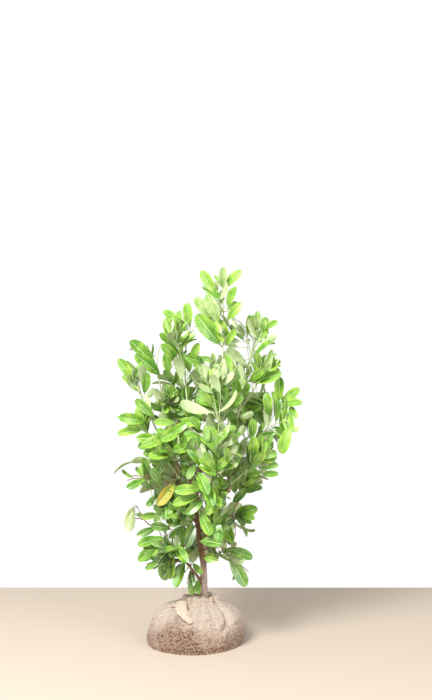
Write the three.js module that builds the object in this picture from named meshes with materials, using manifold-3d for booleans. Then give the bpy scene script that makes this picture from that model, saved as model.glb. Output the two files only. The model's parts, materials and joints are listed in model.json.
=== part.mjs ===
// Sapling of an evergreen cherry laurel, lifted with its root ball: a soil ball tied up in sacking, a trunk that
// leans off centre, boughs that swing out and then climb, and a mass of foliage around the end of each of them.
// Millimetres, +Z up, +X to the right and -Y to the front. The origin is under the root ball, in its middle.
import * as THREE from "three";
import { mergeVertices } from "three/addons/utils/BufferGeometryUtils.js";
import Module from "manifold-3d";

// ---- Driving dimensions ----------------------------------------------------------------------------------------

const GAP = 0.3; // clearance between pieces that touch
const BALL = { halfWidth: 184, halfDepth: 168, foot: 178, waistHeight: 26, height: 138, seat: 46, slump: 0.06 };
const BALL_MESH = { sides: 20, lowerSteps: 3, domeSteps: 5, shoulderPower: 0.85 };
const BALL_LUMPS = [
  { count: 3, depth: 0.018, turn: 0.6 },
  { count: 5, depth: 0.012, turn: -1.1 },
];
const COLLAR = { innerRadius: 25, outerRadius: 50, skirt: 80, skirtDrop: 2.5, top: 168, folds: 6, foldDepth: 3.5 };
const COLLAR_LIP = 5;
const COLLAR_KNEE = { out: 0.3, up: 0.25 }; // where its side turns from the skirt to the neck, as shares
const NECK_SHIFT = 32; // how far the tied neck of the ball, and the trunk in it, stand right of the centre
const TRUNK = { foot: 16, tip: 2.2, taper: 2.4, flare: 7, flareHeight: 28, sides: 7, steps: 14 };
const BOUGH_TAPER = 1.3;
const LIMB_SIDES = 5;
const LIMB_STEPS = 5;
const LOBES = 8; // leaf whorls that make a mass of foliage uneven
const LOBE_DEPTH = 0.3; // share of the radius between the lobes and the hollows
const GOLDEN_TURN = Math.PI * (3 - Math.sqrt(5));

// ---- Solids ----------------------------------------------------------------------------------------------------

const wasm = await Module();
wasm.setup();

// A closed three.js geometry as a solid that can be cut and joined.
function solidOf(geometry) {
  const bare = new THREE.BufferGeometry().setAttribute("position", geometry.getAttribute("position"));
  if (geometry.index) bare.setIndex(geometry.index);
  const merged = mergeVertices(bare, 1e-3);
  return new wasm.Manifold(
    new wasm.Mesh({
      numProp: 3,
      vertProperties: merged.getAttribute("position").array,
      triVerts: new Uint32Array(merged.index.array),
    }),
  );
}

// The largest connected piece of what is left of a solid after the cutters are taken away.
function cutBy(solid, cutters) {
  const left = cutters.reduce((body, cutter) => body.subtract(cutter), solid);
  return left.decompose().reduce((best, body) => (body.volume() > best.volume() ? body : best));
}

// A named mesh of a solid, with its geometry measured from its own anchor point.
function meshOf(name, solid, anchor, material) {
  const { numProp, numVert, vertProperties, triVerts } = solid.getMesh();
  const places = new Float32Array(numVert * 3);
  for (let i = 0; i < numVert; i++) places.set(vertProperties.subarray(i * numProp, i * numProp + 3), i * 3);
  const geometry = new THREE.BufferGeometry()
    .setAttribute("position", new THREE.BufferAttribute(places, 3))
    .setIndex(new THREE.BufferAttribute(triVerts, 1))
    .translate(-anchor.x, -anchor.y, -anchor.z);
  geometry.computeVertexNormals();
  const mesh = new THREE.Mesh(geometry, material);
  mesh.name = name;
  mesh.position.copy(anchor);
  return mesh;
}

// Moves every vertex of a geometry by a function that changes the vector it is given.
function shaped(geometry, move) {
  const places = geometry.getAttribute("position");
  const point = new THREE.Vector3();
  for (let i = 0; i < places.count; i++) {
    move(point.fromBufferAttribute(places, i));
    places.setXYZ(i, point.x, point.y, point.z);
  }
  return geometry;
}

// ---- Root ball -------------------------------------------------------------------------------------------------

// Share of the neck's sideways shift that a point of the ball at this height has.
const neckShare = (z) => Math.pow(Math.max(0, (z - BALL.waistHeight) / (BALL.height - BALL.waistHeight)), 2);

function ballSolid(grow = 0) {
  const profile = [new THREE.Vector2(0, 0), new THREE.Vector2(BALL.foot, 0)];
  for (let i = 1; i < BALL_MESH.lowerSteps; i++) {
    const rise = i / BALL_MESH.lowerSteps;
    const tuck = (BALL.halfWidth - BALL.foot) * Math.pow(1 - rise, 2);
    profile.push(new THREE.Vector2(BALL.halfWidth - tuck, BALL.waistHeight * rise));
  }
  for (let i = 0; i <= BALL_MESH.domeSteps; i++) {
    const turn = (i / BALL_MESH.domeSteps) * (Math.PI / 2);
    const out = Math.pow(Math.max(0, Math.cos(turn)), BALL_MESH.shoulderPower);
    const height = THREE.MathUtils.lerp(BALL.waistHeight, BALL.height, Math.sin(turn));
    profile.push(new THREE.Vector2(THREE.MathUtils.lerp(BALL.seat, BALL.halfWidth, out), height));
  }
  profile.push(new THREE.Vector2(0, BALL.height));
  const geometry = new THREE.LatheGeometry(profile, BALL_MESH.sides).rotateX(Math.PI / 2);
  return solidOf(
    shaped(geometry, (p) => {
      const around = Math.atan2(p.y, p.x);
      const radius = Math.hypot(p.x, p.y);
      const lumps = BALL_LUMPS.reduce((sum, wave) => sum + wave.depth * Math.cos(wave.count * around + wave.turn), 1);
      const edge = radius > BALL.seat + 1 ? lumps : 1;
      const swell = 1 + grow / BALL.foot;
      const slump = p.x < 0 ? 1 - BALL.slump * Math.sin((Math.PI * p.z) / BALL.height) : 1;
      p.x = p.x * edge * swell * slump + NECK_SHIFT * neckShare(p.z);
      p.y = p.y * edge * swell * (BALL.halfDepth / BALL.halfWidth);
      p.z += p.z > 0 ? grow : -grow;
    }),
  );
}

// The gathered mouth of the sacking: a pleated ring that spreads over the ball round the foot of the trunk.
function collarSolid() {
  const { innerRadius, outerRadius, skirt, skirtDrop, top, folds, foldDepth } = COLLAR;
  const bottom = BALL.height + GAP;
  const profile = [
    [innerRadius, bottom],
    [BALL.seat, bottom],
    [skirt, bottom - skirtDrop],
    [THREE.MathUtils.lerp(outerRadius, skirt, COLLAR_KNEE.out), THREE.MathUtils.lerp(bottom, top, COLLAR_KNEE.up)],
    [outerRadius, top - COLLAR_LIP],
    [outerRadius - COLLAR_LIP, top],
    [innerRadius, top],
    [innerRadius, bottom],
  ].map(([r, z]) => new THREE.Vector2(r, z));
  const geometry = new THREE.LatheGeometry(profile, folds * 3).rotateX(Math.PI / 2);
  return solidOf(
    shaped(geometry, (p) => {
      const around = Math.atan2(p.y, p.x);
      const radius = Math.hypot(p.x, p.y);
      const pleat = radius > innerRadius + COLLAR_LIP + 1 ? foldDepth * Math.cos(folds * around) : 0;
      p.x *= 1 + pleat / radius;
      p.y *= 1 + pleat / radius;
      p.x += NECK_SHIFT;
    }),
  );
}

// ---- Limbs -----------------------------------------------------------------------------------------------------

// A tapering limb: a closed cylinder whose rings are carried along a curve.
function limbSolid(curve, radiusAt, sides, steps) {
  const frames = curve.computeFrenetFrames(steps, false);
  const centres = curve.getSpacedPoints(steps);
  const geometry = new THREE.CylinderGeometry(1, 1, steps, sides, steps);
  return solidOf(
    shaped(geometry, (p) => {
      const ring = Math.round(p.y + steps / 2);
      const radius = radiusAt(ring / steps);
      const across = frames.binormals[ring].clone().multiplyScalar(p.x * radius);
      const along = frames.normals[ring].clone().multiplyScalar(p.z * radius);
      p.copy(centres[ring]).add(across).add(along);
    }),
  );
}

// The point of a curve that is nearest to a height.
function pointAtHeight(curve, height) {
  const samples = curve.getSpacedPoints(200);
  return samples.reduce((best, p) => (Math.abs(p.z - height) < Math.abs(best.z - height) ? p : best));
}

// The trunk: it stands in the neck of the ball, leans back to the left above the first fork, and then runs up to the
// right as the leader.
const trunkCurve = new THREE.CatmullRomCurve3(
  [
    [33, 0, 120],
    [35, 0, 200],
    [35, 0, 275],
    [21, 0, 368],
    [8, 2, 480],
    [21, 0, 630],
    [52, -4, 740],
    [91, -6, 923],
    [107, -8, 1100],
    [106, -10, 1255],
  ].map((place) => new THREE.Vector3(...place)),
);
const trunkRadius = (t) => {
  const above = t * trunkCurve.getLength() - (BALL.height - 120);
  const flare = TRUNK.flare * Math.exp(-Math.max(0, above) / TRUNK.flareHeight);
  return TRUNK.tip + (TRUNK.foot - TRUNK.tip) * Math.pow(1 - t, TRUNK.taper) + flare;
};

// Each bough leaves its parent at a height, swings out and then climbs to its tip. swing says how far out it is by
// the middle of its way, and climb how far up. foot is its radius where it leaves its parent.
const bough = (name, from, at, tip, swing, climb, foot) => ({ name, from, at, tip, swing, climb, foot });
const BOUGHS = [
  bough("bough_low_left", "trunk", 205, [-112, -68, 392], 0.45, 0.55, 7),
  bough("bough_left_riser", "bough_low_left", 350, [-176, 30, 610], 0.62, 0.35, 4.5),
  bough("bough_left_outer", "bough_left_riser", 410, [-204, -2, 462], 0.6, 0.2, 3),
  bough("bough_low_right", "trunk", 290, [112, -50, 330], 0.45, 0.8, 4.5),
  bough("second_stem", "trunk", 345, [98, -76, 800], 1.15, 0.42, 7.5),
  bough("bough_left_mid", "trunk", 490, [-76, -118, 750], 0.85, 0.35, 5.5),
  bough("bough_left_arm", "bough_left_mid", 620, [-195, -70, 815], 0.55, 0.55, 4),
  bough("bough_left_shoulder", "trunk", 560, [-206, -40, 950], 0.62, 0.38, 5),
  bough("bough_left_tall", "trunk", 600, [-140, 56, 1010], 0.8, 0.4, 5),
  bough("bough_left_crown", "trunk", 640, [-34, -30, 1150], 1.15, 0.42, 5),
  bough("bough_left_waist", "trunk", 455, [-58, -96, 535], 0.5, 0.75, 4.5),
  bough("bough_right_crown", "second_stem", 650, [224, 44, 1120], 0.62, 0.4, 5),
  bough("bough_right_shoulder", "bough_right_crown", 850, [258, -20, 1010], 0.6, 0.4, 3.5),
  bough("bough_right_tip", "second_stem", 610, [318, -16, 860], 0.55, 0.42, 5),
  bough("bough_right_mid", "second_stem", 560, [236, -84, 700], 0.62, 0.38, 4),
  bough("bough_right_low", "trunk", 400, [194, 34, 580], 0.85, 0.3, 5),
  bough("bough_centre_waist", "trunk", 325, [84, -114, 430], 0.6, 0.45, 4),
  bough("bough_centre_low", "second_stem", 470, [74, -146, 580], 0.6, 0.45, 3.5),
  bough("bough_front", "second_stem", 520, [84, -176, 730], 0.8, 0.35, 4.5),
  bough("bough_back_low", "trunk", 320, [42, 150, 400], 0.55, 0.7, 5),
  bough("bough_back_left", "trunk", 430, [-98, 152, 620], 0.75, 0.4, 5),
  bough("bough_back_right", "trunk", 420, [166, 166, 650], 0.75, 0.4, 5),
  bough("bough_back_upper_left", "trunk", 660, [-36, 166, 890], 0.8, 0.4, 4.5),
  bough("bough_back_upper_right", "trunk", 620, [164, 180, 925], 0.8, 0.4, 4.5),
];
const BOUGH_TIP = 2.2;

function boughCurve(parentCurve, { at, tip, swing, climb }) {
  const foot = pointAtHeight(parentCurve, at);
  const end = new THREE.Vector3(...tip);
  const middle = new THREE.Vector3(
    THREE.MathUtils.lerp(foot.x, end.x, swing),
    THREE.MathUtils.lerp(foot.y, end.y, swing),
    THREE.MathUtils.lerp(foot.z, end.z, climb),
  );
  return new THREE.QuadraticBezierCurve3(foot, middle, end);
}

// ---- Foliage ---------------------------------------------------------------------------------------------------

// Each mass of foliage has its middle, its size across, deep and high, and its lean to the right in degrees. The bough
// that ends in it is named; a mass with none grows on a limb that runs through it.
const mass = (name, on, middle, size, lean) => ({ name, on, middle, size, lean });
const MASSES = [
  mass("foliage_leader", "trunk", [90, -10, 1212], [192, 170, 308], -3),
  mass("foliage_left_crown", "bough_left_crown", [-46, -30, 1115], [158, 180, 256], 8),
  mass("foliage_right_crown", "bough_right_crown", [222, 44, 1126], [182, 180, 176], 30),
  mass("foliage_right_shoulder", "bough_right_shoulder", [259, -30, 1012], [130, 150, 154], 25),
  mass("foliage_right_tip", "bough_right_tip", [321, -14, 828], [142, 170, 288], 6),
  mass("foliage_right_mid", "bough_right_mid", [240, -92, 704], [136, 150, 152], 0),
  mass("foliage_right_low", "bough_right_low", [196, 34, 585], [132, 150, 130], 10),
  mass("foliage_right_skirt", null, [160, -34, 448], [172, 150, 150], -35),
  mass("foliage_low_right", "bough_low_right", [134, -54, 302], [134, 130, 196], -48),
  mass("foliage_left_tall", "bough_left_tall", [-178, 56, 1042], [118, 130, 178], -42),
  mass("foliage_left_shoulder", "bough_left_shoulder", [-212, -40, 963], [134, 150, 168], -20),
  mass("foliage_left_arm", "bough_left_arm", [-206, -72, 822], [158, 150, 128], 0),
  mass("foliage_left_mid", "bough_left_mid", [-86, -122, 740], [232, 190, 140], 0),
  mass("foliage_left_far", "bough_left_riser", [-214, 34, 610], [152, 130, 96], -24),
  mass("foliage_left_outer", "bough_left_outer", [-200, 0, 450], [140, 110, 100], 0),
  mass("foliage_left_waist", "bough_left_waist", [-62, -100, 520], [188, 170, 176], 0),
  mass("foliage_low_left", "bough_low_left", [-106, -72, 332], [204, 190, 192], 0),
  mass("foliage_foot", null, [-20, -62, 250], [104, 90, 134], 8),
  mass("foliage_centre_waist", "bough_centre_waist", [86, -122, 440], [116, 116, 230], 0),
  mass("foliage_front", "bough_front", [92, -178, 735], [172, 160, 220], 0),
  mass("foliage_centre", "second_stem", [98, -96, 948], [196, 180, 250], 0),
  mass("foliage_centre_low", "bough_centre_low", [76, -156, 584], [130, 130, 144], 0),
  mass("foliage_left_inner", null, [-92, 30, 868], [120, 170, 170], 10),
  mass("foliage_right_inner", null, [226, 40, 856], [120, 150, 190], 12),
  mass("foliage_back_low", "bough_back_low", [34, 152, 392], [230, 190, 212], 0),
  mass("foliage_back_left", "bough_back_left", [-98, 160, 612], [206, 210, 230], -6),
  mass("foliage_back_right", "bough_back_right", [158, 170, 652], [200, 210, 232], 6),
  mass("foliage_back_upper_left", "bough_back_upper_left", [-30, 164, 884], [186, 200, 250], -6),
  mass("foliage_back_upper_right", "bough_back_upper_right", [158, 180, 918], [190, 200, 245], 6),
];

// One mass: a ball of facets drawn out into lobes along a golden spiral, stretched to its size and leant over.
function massSolid({ middle, size, lean }, turn, grow = 0) {
  const whorls = Array.from({ length: LOBES }, (_, i) => {
    const up = 1 - (2 * i + 1) / LOBES;
    const flat = Math.sqrt(1 - up * up);
    const angle = turn + i * GOLDEN_TURN;
    return new THREE.Vector3(flat * Math.cos(angle), flat * Math.sin(angle), up);
  });
  const lobed = shaped(new THREE.IcosahedronGeometry(1, 2), (p) => {
    const nearest = Math.max(...whorls.map((whorl) => whorl.dot(p)));
    p.multiplyScalar(1 - LOBE_DEPTH * Math.pow(Math.acos(Math.min(1, nearest)), 1.4));
  });
  lobed.computeBoundingBox();
  const spread = lobed.boundingBox.getSize(new THREE.Vector3());
  lobed.translate(...lobed.boundingBox.getCenter(new THREE.Vector3()).negate());
  lobed.scale(...size.map((side, axis) => (side + 2 * grow) / spread.getComponent(axis)));
  lobed.rotateY(THREE.MathUtils.degToRad(lean)).translate(...middle);
  return solidOf(lobed);
}

// ---- Sacking tails ---------------------------------------------------------------------------------------------

// The twisted corners of the sacking that hang from the knot.
const TAILS = [
  {
    name: "sacking_tail_front",
    route: [[-24, -36, 150], [-38, -78, 147], [-32, -114, 132], [-12, -141, 105]],
    foot: 15,
    tip: 8,
  },
  {
    name: "sacking_tail_left",
    route: [[-26, -14, 148], [-66, -14, 146], [-112, -16, 132]],
    foot: 9,
    tip: 4,
  },
];

// ---- Assembly --------------------------------------------------------------------------------------------------

const FINISH = {
  sacking: { color: 0xc9b496, roughness: 0.95, metalness: 0 },
  bark: { color: 0x8a6f5c, roughness: 0.8, metalness: 0 },
  shoot: { color: 0xa9b36a, roughness: 0.6, metalness: 0 },
  leaves: { color: 0x6fa336, roughness: 0.45, metalness: 0 },
};
const finish = (kind) => new THREE.MeshStandardMaterial(FINISH[kind]);

const sapling = new THREE.Group();
const rootBall = new THREE.Group();
const limbs = new THREE.Group();
const crown = new THREE.Group();
sapling.add(rootBall, limbs, crown);

const ballGrown = ballSolid(GAP);
const neck = new THREE.Vector3(NECK_SHIFT, 0, BALL.height);
rootBall.add(meshOf("root_ball", ballSolid(), new THREE.Vector3(), finish("sacking")));
rootBall.add(meshOf("sacking_collar", collarSolid(), neck, finish("sacking")));

const tailRadius = (tail, grow) => (t) => THREE.MathUtils.lerp(tail.foot, tail.tip, t * t) + grow;
const tailShape = (tail, grow = 0) =>
  limbSolid(
    new THREE.CatmullRomCurve3(tail.route.map((place) => new THREE.Vector3(...place))),
    tailRadius(tail, grow),
    LIMB_SIDES,
    LIMB_STEPS,
  );
// The collar, moved a little each way, so that a tail cut by all of these is clear of it.
const STEPS_ASIDE = [[0, 0, 0], [1, 0, 0], [-1, 0, 0], [0, 1, 0], [0, -1, 0], [0, 0, 1], [0, 0, -1]];
const collarGrown = STEPS_ASIDE.map((step) => collarSolid().translate(step.map((side) => side * 2 * GAP)));
const tailsGrown = TAILS.map((tail) => tailShape(tail, GAP));
TAILS.forEach((tail, i) => {
  const others = tailsGrown.slice(0, i);
  const body = cutBy(tailShape(tail), [ballGrown, ...collarGrown, ...others]);
  rootBall.add(meshOf(tail.name, body, new THREE.Vector3(...tail.route[0]), finish("sacking")));
});

// Limbs, each held clear of the limbs that were there before it.
const curves = { trunk: trunkCurve };
const trunkShape = (grow = 0) => limbSolid(trunkCurve, (t) => trunkRadius(t) + grow, TRUNK.sides, TRUNK.steps);
const boughShape = ({ name, foot }, grow = 0) => {
  const radiusAt = (t) => BOUGH_TIP + (foot - BOUGH_TIP) * Math.pow(1 - t, BOUGH_TAPER) + grow;
  return limbSolid(curves[name], radiusAt, LIMB_SIDES, LIMB_STEPS);
};
const massOn = (limb) => MASSES.find(({ on }) => on === limb);
const massShape = (row, grow = 0) => massSolid(row, MASSES.indexOf(row), grow);

const limbsGrown = { trunk: trunkShape(GAP) };
limbs.add(meshOf("trunk", cutBy(trunkShape(), [ballGrown]), neck, finish("bark")));
for (const row of BOUGHS) {
  const curve = boughCurve(curves[row.from], row);
  curves[row.name] = curve;
  const body = cutBy(boughShape(row), [...Object.values(limbsGrown), massShape(massOn(row.name), GAP)]);
  limbsGrown[row.name] = boughShape(row, GAP);
  limbs.add(meshOf(row.name, body, curve.getPoint(0), finish(row.from === "trunk" ? "bark" : "shoot")));
}

// Foliage, each mass cut round the limbs that run through it and round the masses before it.
const placed = [ballGrown, ...tailsGrown];
for (const row of MASSES) {
  const through = Object.entries(limbsGrown).filter(([name]) => name !== row.on || name === "trunk");
  const body = cutBy(massShape(row), [...through.map(([, shape]) => shape), ...placed]);
  placed.push(massShape(row, GAP));
  crown.add(meshOf(row.name, body, new THREE.Vector3(...row.middle), finish("leaves")));
}

export default sapling;
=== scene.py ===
# %% [markdown]
# # A laurel sapling with its root ball
#
# A nursery lifts this shrub from the field with the soil round its roots, and ties the soil up in jute sacking. The
# trunk leans, forks low down, and carries slender boughs. Around the end of each bough there is a mass of glossy,
# oblong leaves, and between the masses you can see daylight.
#
# The lesson builds the looks around a fixed frame: plain solids, one for each bough and mass, that already have the
# right size and place. Each solid is replaced by something finer that is measured from it.

import json
import math
import random

import bmesh
import bpy
import numpy as np
from mathutils import Matrix, Quaternion, Vector, noise
from mathutils.bvhtree import BVHTree


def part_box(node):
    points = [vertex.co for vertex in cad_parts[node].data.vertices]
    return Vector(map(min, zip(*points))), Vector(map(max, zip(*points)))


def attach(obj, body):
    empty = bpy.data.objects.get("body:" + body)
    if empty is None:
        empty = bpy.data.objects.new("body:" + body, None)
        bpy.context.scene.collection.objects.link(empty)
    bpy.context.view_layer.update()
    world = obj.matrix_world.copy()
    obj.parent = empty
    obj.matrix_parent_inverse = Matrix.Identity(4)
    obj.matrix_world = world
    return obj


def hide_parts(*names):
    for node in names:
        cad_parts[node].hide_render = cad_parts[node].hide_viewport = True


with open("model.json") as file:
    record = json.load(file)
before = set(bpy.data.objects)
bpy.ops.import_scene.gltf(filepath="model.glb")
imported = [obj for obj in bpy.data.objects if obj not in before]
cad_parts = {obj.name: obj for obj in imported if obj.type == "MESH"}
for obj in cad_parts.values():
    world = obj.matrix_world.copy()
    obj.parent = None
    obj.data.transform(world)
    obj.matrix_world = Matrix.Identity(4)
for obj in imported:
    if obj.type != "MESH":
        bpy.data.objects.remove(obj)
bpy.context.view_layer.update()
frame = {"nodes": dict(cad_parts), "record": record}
FULL_TURN = 2 * math.pi
UP = Vector((0, 0, 1))
VIEWER = Vector((0, -1, 0))  # the plant's front


def mm(*sizes):
    """Millimetres in metres: one number, or a vector of several."""
    return sizes[0] / 1000 if len(sizes) == 1 else Vector(size / 1000 for size in sizes)


print(f"{len(frame['nodes'])} solids in the frame")

# %% [markdown]
# ## Colours and node materials
#
# Blender's sockets want linear light, and colour pickers give sRGB. One function turns a hex colour into linear
# numbers, and one adds a node with its settings and its links, so that a material reads as a short list of nodes.

# %% Colour and node helpers
def linear(code):
    """An sRGB hex colour as linear red, green, blue and an alpha of 1."""
    channels = [int(code[i : i + 2], 16) / 255 for i in (1, 3, 5)]
    return [c / 12.92 if c <= 0.04045 else ((c + 0.055) / 1.055) ** 2.4 for c in channels] + [1.0]


def add_node(material, kind, links=None, **settings):
    """Adds a node. settings are its own properties, or values of its inputs by name; links join inputs to outputs."""
    node = material.node_tree.nodes.new(kind)
    for name, value in settings.items():
        title = name.replace("_", " ").title()
        if hasattr(node, name):
            setattr(node, name, value)
        else:
            node.inputs[title].default_value = value
    for name, output in (links or {}).items():
        material.node_tree.links.new(output, node.inputs[name])
    return node


def new_material(name, roughness, **shader_values):
    """A material with one Principled shader, whose plain values stay on its own sockets."""
    material = bpy.data.materials.new(name)
    material.use_nodes = True
    shader = material.node_tree.nodes["Principled BSDF"]
    shader.inputs["Roughness"].default_value = roughness
    for socket, value in shader_values.items():
        shader.inputs[socket.replace("_", " ")].default_value = value
    return material, shader


def link(material, output, shader, socket):
    material.node_tree.links.new(output, shader.inputs[socket])


def object_coordinates(material):
    return add_node(material, "ShaderNodeTexCoord").outputs["Object"]


def two_tone(material, factor, first, second, low=0.35, high=0.65):
    """A colour that goes from first to second as the factor goes from low to high."""
    ramp = add_node(material, "ShaderNodeValToRGB", {"Fac": factor})
    ramp.color_ramp.elements[0].position = low
    ramp.color_ramp.elements[1].position = high
    ramp.color_ramp.elements[0].color = linear(first)
    ramp.color_ramp.elements[1].color = linear(second)
    return ramp.outputs["Color"]


def per_metre(size_mm):
    """The scale of a texture whose features are this many millimetres apart."""
    return 1000 / size_mm


print("helpers ready")

# %% [markdown]
# ## Leaf finishes
#
# A laurel leaf is leathery. Its upper side has a waxy skin, which gives a sharp, soft-edged shine over saturated
# green, and its underside has none, so it is pale and matt. The young leaves at the shoot tips are yellower and
# lighter than last year's, which are a deep blue-green. Each leaf takes one of a few greens, and a slow mottle and
# raised side veins break up its surface.

# %% Leaf materials
VEIN_MM = 9  # from one side vein to the next, on a leaf of usual length
MOTTLE_MM = 34
VEIN_GREEN = "#BAD678"


def leaf_green(name, light, dark, roughness=0.36):
    """Leaf blade: the wax on it is the coat, a bloom on the wax is the sheen, and the side veins are paler ridges. Its
    green goes darker by the midrib and paler towards the rim, as painted rim light.
    """
    material, shader = new_material(
        name, roughness, Coat_Weight=0.7, Coat_Roughness=0.19, Sheen_Weight=0.05, Sheen_Roughness=0.45, IOR=1.48
    )
    place = object_coordinates(material)
    mottle = add_node(material, "ShaderNodeTexNoise", {"Vector": place}, scale=per_metre(MOTTLE_MM), detail=3.0)
    across = add_node(material, "ShaderNodeUVMap", uv_map="blade")
    veins = add_node(
        material,
        "ShaderNodeTexWave",
        {"Vector": across.outputs["UV"]},
        wave_type="BANDS",
        bands_direction="DIAGONAL",
        scale=per_metre(VEIN_MM) * FULL_TURN / 10,
        distortion=1.6,
    )
    vein = add_node(
        material, "ShaderNodeMapRange", {"Value": veins.outputs["Fac"]}, from_min=0.5, from_max=1.0, to_max=0.2
    )
    mix = add_node(material, "ShaderNodeMix", data_type="RGBA")
    mix.inputs[7].default_value = linear(VEIN_GREEN)
    material.node_tree.links.new(vein.outputs["Result"], mix.inputs[0])
    # The green goes darker by the midrib and paler towards the rim: painted rim light.
    from_rib = add_node(material, "ShaderNodeSeparateXYZ", {"Vector": across.outputs["UV"]}).outputs["X"]
    edge = add_node(
        material, "ShaderNodeMapRange", {"Value": from_rib}, from_max=-mm(14), to_min=-0.15, to_max=0.11
    )
    paler = add_node(
        material, "ShaderNodeMath", {0: mottle.outputs["Fac"], 1: edge.outputs["Result"]}, operation="ADD"
    )
    mottle_and_rim_light = two_tone(material, paler.outputs[0], dark, light)
    material.node_tree.links.new(mottle_and_rim_light, mix.inputs[6])
    link(material, mix.outputs[2], shader, "Base Color")
    bump = add_node(
        material, "ShaderNodeBump", {"Height": veins.outputs["Fac"]}, strength=0.26, distance=mm(1.6)
    )
    link(material, bump.outputs["Normal"], shader, "Normal")
    return material


def pale_underside(name, light, dark):
    """Leaf underside: no wax, so it scatters, and light that came through the leaf makes it glow a little in shade."""
    material, shader = new_material(
        name, 0.62, IOR=1.4, Subsurface_Weight=0.4, Subsurface_Scale=mm(1.5), Subsurface_Radius=(0.8, 1.0, 0.4)
    )
    place = object_coordinates(material)
    mottle = add_node(material, "ShaderNodeTexNoise", {"Vector": place}, scale=per_metre(26), detail=4.0)
    link(material, two_tone(material, mottle.outputs["Fac"], dark, light), shader, "Base Color")
    bump = add_node(
        material, "ShaderNodeBump", {"Height": mottle.outputs["Fac"]}, strength=0.2, distance=mm(1)
    )
    link(material, bump.outputs["Normal"], shader, "Normal")
    return material


TINTS = {
    "young": leaf_green("leaf_young_lime", "#CBDAA0", "#93B85A"),
    "fresh": leaf_green("leaf_fresh_green", "#AED250", "#69A61C"),
    "mid": leaf_green("leaf_mid_green", "#96C242", "#4F9012"),
    "deep": leaf_green("leaf_deep_green", "#94BA5C", "#508628"),
    "old": leaf_green("leaf_old_dark_green", "#64854A", "#2C5220", roughness=0.4),
    "yellow": leaf_green("leaf_turned_yellow", "#E0BE48", "#B4B23C"),
    "rust": leaf_green("leaf_turned_rust", "#A8673F", "#7C4F33"),
}
TINT_NAMES = list(TINTS)
UNDERSIDE = pale_underside("leaf_underside_matt", "#CDDCAA", "#B4C78C")
MIDRIB = pale_underside("leaf_midrib_pale", "#D0E2A0", "#B4D07C")
LEAF_FINISHES = [*TINTS.values(), UNDERSIDE, MIDRIB]
UNDERSIDE_INDEX = len(TINTS)
MIDRIB_INDEX = len(TINTS) + 1
print(f"{len(LEAF_FINISHES)} leaf finishes")

# %% [markdown]
# ## Bark finishes
#
# Young laurel bark is thin and smooth, grey with a touch of mauve, and dotted with corky pores that lie across the
# stem. Last year's shoots are reddish brown, and this year's are still green and almost white in strong light.

# %% Bark materials
def height_mix(material, place, below, above, start, reach, blend_type="MIX"):
    """One colour below a height in metres and another above it, over a reach. A colour is an output or a hex code."""
    height = add_node(material, "ShaderNodeSeparateXYZ", {"Vector": place}).outputs["Z"]
    share = add_node(material, "ShaderNodeMapRange", {"Value": height}, from_min=start, from_max=start + reach)
    mix = add_node(material, "ShaderNodeMix", data_type="RGBA", blend_type=blend_type)
    material.node_tree.links.new(share.outputs["Result"], mix.inputs[0])
    for socket, colour in ((mix.inputs[6], below), (mix.inputs[7], above)):
        if isinstance(colour, str):
            socket.default_value = linear(colour)
        else:
            material.node_tree.links.new(colour, socket)
    return mix.outputs[2]


def bark(name, light, dark, pore, green_from=None, brown_from=None, roughness=0.75):
    """Thin young bark: streaks along the stem, and corky pores stretched across it. It changes with the height."""
    material, shader = new_material(name, roughness)
    place = object_coordinates(material)
    along = add_node(material, "ShaderNodeMapping", {"Vector": place}, scale=(1, 1, 0.22))
    streaks = add_node(
        material, "ShaderNodeTexNoise", {"Vector": along.outputs["Vector"]}, scale=per_metre(9), detail=5.0
    )
    across = add_node(material, "ShaderNodeMapping", {"Vector": place}, scale=(1, 1, 3.2))
    pores = add_node(
        material, "ShaderNodeTexVoronoi", {"Vector": across.outputs["Vector"]}, scale=per_metre(11)
    )
    spot = add_node(
        material,
        "ShaderNodeMapRange",
        {"Value": pores.outputs["Distance"]},
        from_min=0.12,
        from_max=0.3,
        to_min=1.0,
        to_max=0.0,
    )
    wood = two_tone(material, streaks.outputs["Fac"], dark, light, 0.3, 0.7)
    mix = add_node(material, "ShaderNodeMix", data_type="RGBA")
    mix.inputs[7].default_value = linear(pore)
    material.node_tree.links.new(spot.outputs["Result"], mix.inputs[0])
    material.node_tree.links.new(wood, mix.inputs[6])
    colour = mix.outputs[2]
    if brown_from:
        colour = height_mix(material, place, colour, "#A8906F", brown_from, mm(BROWNING_MM), "MULTIPLY")
    if green_from:
        green = two_tone(material, streaks.outputs["Fac"], "#B9C78A", "#DCE3BE", 0.3, 0.7)
        colour = height_mix(material, place, colour, green, green_from, mm(GREENING_MM))
    link(material, colour, shader, "Base Color")
    bump = add_node(
        material, "ShaderNodeBump", {"Height": streaks.outputs["Fac"]}, strength=0.5, distance=mm(1.5)
    )
    link(material, bump.outputs["Normal"], shader, "Normal")
    return material


GREENING_MM = 260  # the height over which last year's brown bark gives way to this year's green
BROWNING_MM = 70
TRUNK_BARK = bark("bark_grey_mauve", "#D2BCB2", "#A0837A", "#DECFC5", green_from=0.76, brown_from=0.24)
BOUGH_BARK = bark("bark_red_brown", "#A27C60", "#714B36", "#BDA086", green_from=0.62)
GREEN_SHOOT = bark("shoot_pale_green", "#D3DCA8", "#AFC078", "#E2E7C6", roughness=0.5)
print("bark finishes ready")

# %% [markdown]
# ## Slicing a solid to find its centreline
#
# A limb of the frame is a closed solid with cut ends. To build finer bark on it, its centreline is needed. So a copy
# is sliced like a carrot: `bisect_plane` cuts it at right angles to its length, and the middle of each cut is a
# point on the centreline.

# %% Centrelines
def frame_bmesh(node):
    """A merged copy of a solid of the frame."""
    bm = bmesh.new()
    bm.from_mesh(frame["nodes"][node].data)
    bmesh.ops.remove_doubles(bm, verts=bm.verts, dist=mm(0.02))
    return bm


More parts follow.
